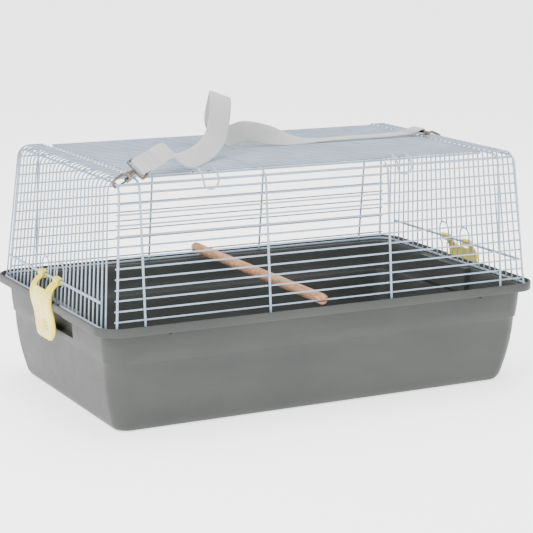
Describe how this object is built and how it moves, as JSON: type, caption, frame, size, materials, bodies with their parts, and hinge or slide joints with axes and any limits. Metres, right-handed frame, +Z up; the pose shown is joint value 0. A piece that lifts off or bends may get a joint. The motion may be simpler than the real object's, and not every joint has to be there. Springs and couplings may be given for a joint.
{
  "type": "small animal travel cage",
  "caption": "Travel cage for birds and small animals: moulded tray, clipped-on wire cover with a roof door, wooden perch and webbing carrying strap on snap hooks.",
  "frame": {"origin": "centre of the flat underside of the tray", "axes": "+X along the length, to the right seen from the front; +Y to the back, where the door hinges; +Z up"},
  "size_m": [0.5778, 0.345, 0.3569],
  "materials": {
    "tray_plastic": "fine moulded grain, mid grey",
    "wire_paint": "smooth pale blue-white coating",
    "clip_plastic": "satin pale yellow, slightly see-through at the edges",
    "perch_wood": "bare natural wood with grain",
    "hook_metal": "dark nickel plate",
    "webbing": "off-white woven polypropylene webbing"
  },
  "bodies": {
    "tray": {"tray": "tray_plastic", "rim_studs": "tray_plastic"},
    "cover": {"base_ring": "wire_paint", "front_hoop_legs": "wire_paint", "back_hoop_legs": "wire_paint", "roof_hoops": "wire_paint", "hoop_stubs": "wire_paint", "front_wires": "wire_paint", "back_wires": "wire_paint", "top_rails": "wire_paint", "left_end_wires": "wire_paint", "right_end_wires": "wire_paint", "left_roof_wires": "wire_paint", "right_roof_wires": "wire_paint", "left_clip_rail": "wire_paint", "right_clip_rail": "wire_paint", "left_clip_arches": "wire_paint", "right_clip_arches": "wire_paint", "left_hook": "hook_metal", "right_hook": "hook_metal", "strap": "webbing"},
    "door": {"door_frame": "wire_paint", "door_wires": "wire_paint", "door_cross_wires": "wire_paint", "door_hinge_loops": "wire_paint", "door_latches": "wire_paint"},
    "left_clip": {"left_clip": "clip_plastic"},
    "right_clip": {"right_clip": "clip_plastic"},
    "perch": {"perch": "perch_wood"},
    "left_gate": {"left_gate": "hook_metal"},
    "right_gate": {"right_gate": "hook_metal"},
    "left_swivel": {"left_swivel": "hook_metal", "left_strap_end": "webbing"},
    "right_swivel": {"right_swivel": "hook_metal", "right_strap_end": "webbing"}
  },
  "joints": [
    {"name": "cover_lift", "type": "slide", "parent": "tray", "child": "cover", "axis": [0, 0, 1], "range_m": [0, 0.2]},
    {"name": "left_clip_pivot", "type": "hinge", "parent": "cover", "child": "left_clip", "pos_m": [-0.27358, 0.0058, 0.149], "axis": [0, 1, 0], "range_deg": [0, 110]},
    {"name": "right_clip_pivot", "type": "hinge", "parent": "cover", "child": "right_clip", "pos_m": [0.27358, -0.0058, 0.149], "axis": [0, -1, 0], "range_deg": [0, 110]},
    {"name": "door_hinge", "type": "hinge", "parent": "cover", "child": "door", "pos_m": [0, 0.14493, 0.27572], "axis": [-1, 0, 0], "range_deg": [0, 110], "deforming": ["strap", "right_strap_end"]},
    {"name": "perch_slide", "type": "slide", "parent": "cover", "child": "perch", "axis": [1, 0, 0], "range_m": [-0.057, 0.083]},
    {"name": "left_gate_spring", "type": "hinge", "parent": "cover", "child": "left_gate", "pos_m": [-0.24263, -0.14239, 0.28005], "axis": [-0.0617, 0.9726, 0.2241], "range_deg": [0, 22], "stiffness_Nm_per_rad": 0.01, "springref_deg": -17.19},
    {"name": "right_gate_spring", "type": "hinge", "parent": "cover", "child": "right_gate", "pos_m": [0.24245, 0.01587, 0.27813], "axis": [0, -1, 0], "range_deg": [0, 22], "stiffness_Nm_per_rad": 0.01, "springref_deg": -17.19},
    {"name": "left_swivel_turn", "type": "hinge", "parent": "cover", "child": "left_swivel", "pos_m": [-0.23716, -0.14397, 0.2884], "axis": [0.8639, -0.0604, 0.5], "range_deg": [-8, 8]},
    {"name": "right_swivel_turn", "type": "hinge", "parent": "cover", "child": "right_swivel", "pos_m": [0.23583, 0.01587, 0.28577], "axis": [-0.9272, 0, 0.3746], "range_deg": [-8, 8]}
  ]
}
